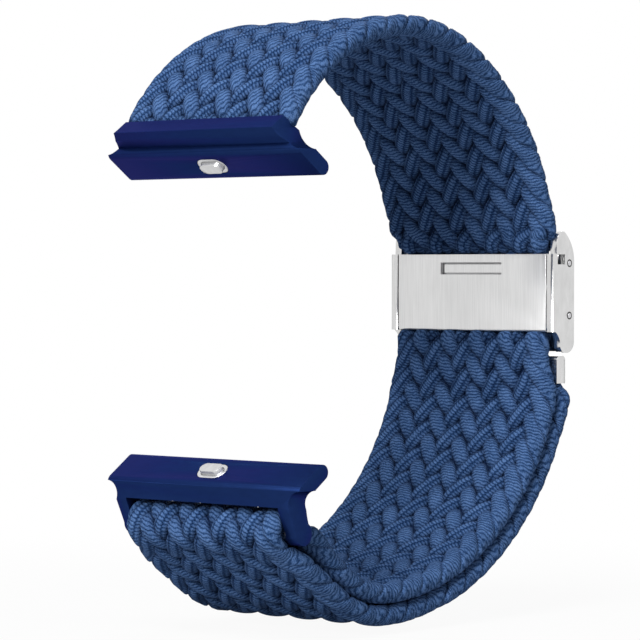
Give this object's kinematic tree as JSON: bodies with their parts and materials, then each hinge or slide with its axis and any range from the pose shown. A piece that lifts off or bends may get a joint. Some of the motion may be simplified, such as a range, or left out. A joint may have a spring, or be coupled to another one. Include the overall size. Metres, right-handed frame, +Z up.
{
  "type": "braided watch strap",
  "caption": "Braided elastic watch strap in blue, with two metal lug connectors and a sliding steel clasp",
  "frame": {"origin": "midway between the two connector rails, the middle of the watch's seat", "axes": "+X across the strap's width, +Y from the watch's face to the clasp, +Z up to the upper connector"},
  "size_m": [0.0306, 0.0549, 0.0717],
  "materials": {
    "braid": "braided elastic cord",
    "blue_anodised": "matte blue anodised",
    "latch_steel": "satin",
    "ring_steel": "satin",
    "spring_steel": "spring temper",
    "rivet_steel": "pressed",
    "bar_steel": "drawn",
    "polished_steel": "satin with polished edges",
    "brushed_steel": "brushed along Z",
    "inner_steel": "plain rolled",
    "pin_steel": "drawn"
  },
  "bodies": {
    "strap": {"braided_band": "braid", "upper_connector": "blue_anodised", "upper_band_rivets": "rivet_steel", "upper_latch_retainer": "ring_steel", "upper_latch_spring": "spring_steel", "clasp_frame": "polished_steel", "flap_hinge_pin": "pin_steel", "cover_hinge_pin": "pin_steel", "catch_pin": "pin_steel", "end_clamp": "polished_steel", "end_clamp_rivets": "rivet_steel", "end_hook": "inner_steel"},
    "lower_lug": {"lower_connector": "blue_anodised", "lower_latch_retainer": "ring_steel", "lower_latch_spring": "spring_steel", "bar_tube": "bar_steel", "bar_spring": "spring_steel"},
    "upper_latch": {"upper_latch_button": "latch_steel"},
    "lower_latch": {"lower_latch_button": "latch_steel"},
    "bar_left": {"bar_tip_left": "bar_steel"},
    "bar_right": {"bar_tip_right": "bar_steel"},
    "flap": {"locking_flap": "brushed_steel", "flap_grip_plate": "inner_steel"},
    "cover": {"safety_cover": "polished_steel", "cover_catch_springs": "spring_steel"}
  },
  "joints": [
    {"name": "lower_connector_pivot", "type": "hinge", "parent": "strap", "child": "lower_lug", "pos_m": [0, 0, -0.0242], "axis": [1, 0, 0], "range_deg": [-25, 35]},
    {"name": "flap_hinge", "type": "hinge", "parent": "strap", "child": "flap", "pos_m": [0, 0.04688, -0.00147], "axis": [1, 0, 0], "range_deg": [0, 80]},
    {"name": "cover_hinge", "type": "hinge", "parent": "strap", "child": "cover", "pos_m": [0, 0.04975, 0.0066], "axis": [1, 0, 0], "range_deg": [0, 120]},
    {"name": "upper_latch_press", "type": "slide", "parent": "strap", "child": "upper_latch", "axis": [0, 0.5736, 0.8192], "range_m": [0, 0.00045], "stiffness_N_per_m": 100, "deforming": ["upper_latch_spring"]},
    {"name": "lower_latch_press", "type": "slide", "parent": "lower_lug", "child": "lower_latch", "axis": [0, 0.5736, -0.8192], "range_m": [0, 0.00045], "stiffness_N_per_m": 100, "deforming": ["lower_latch_spring"]},
    {"name": "bar_tip_left_press", "type": "slide", "parent": "lower_lug", "child": "bar_left", "axis": [1, 0, 0], "range_m": [0, 0.00085], "stiffness_N_per_m": 100, "deforming": ["bar_spring"]},
    {"name": "bar_tip_right_press", "type": "slide", "parent": "lower_lug", "child": "bar_right", "axis": [-1, 0, 0], "range_m": [0, 0.00085], "stiffness_N_per_m": 100, "deforming": ["bar_spring"]}
  ]
}
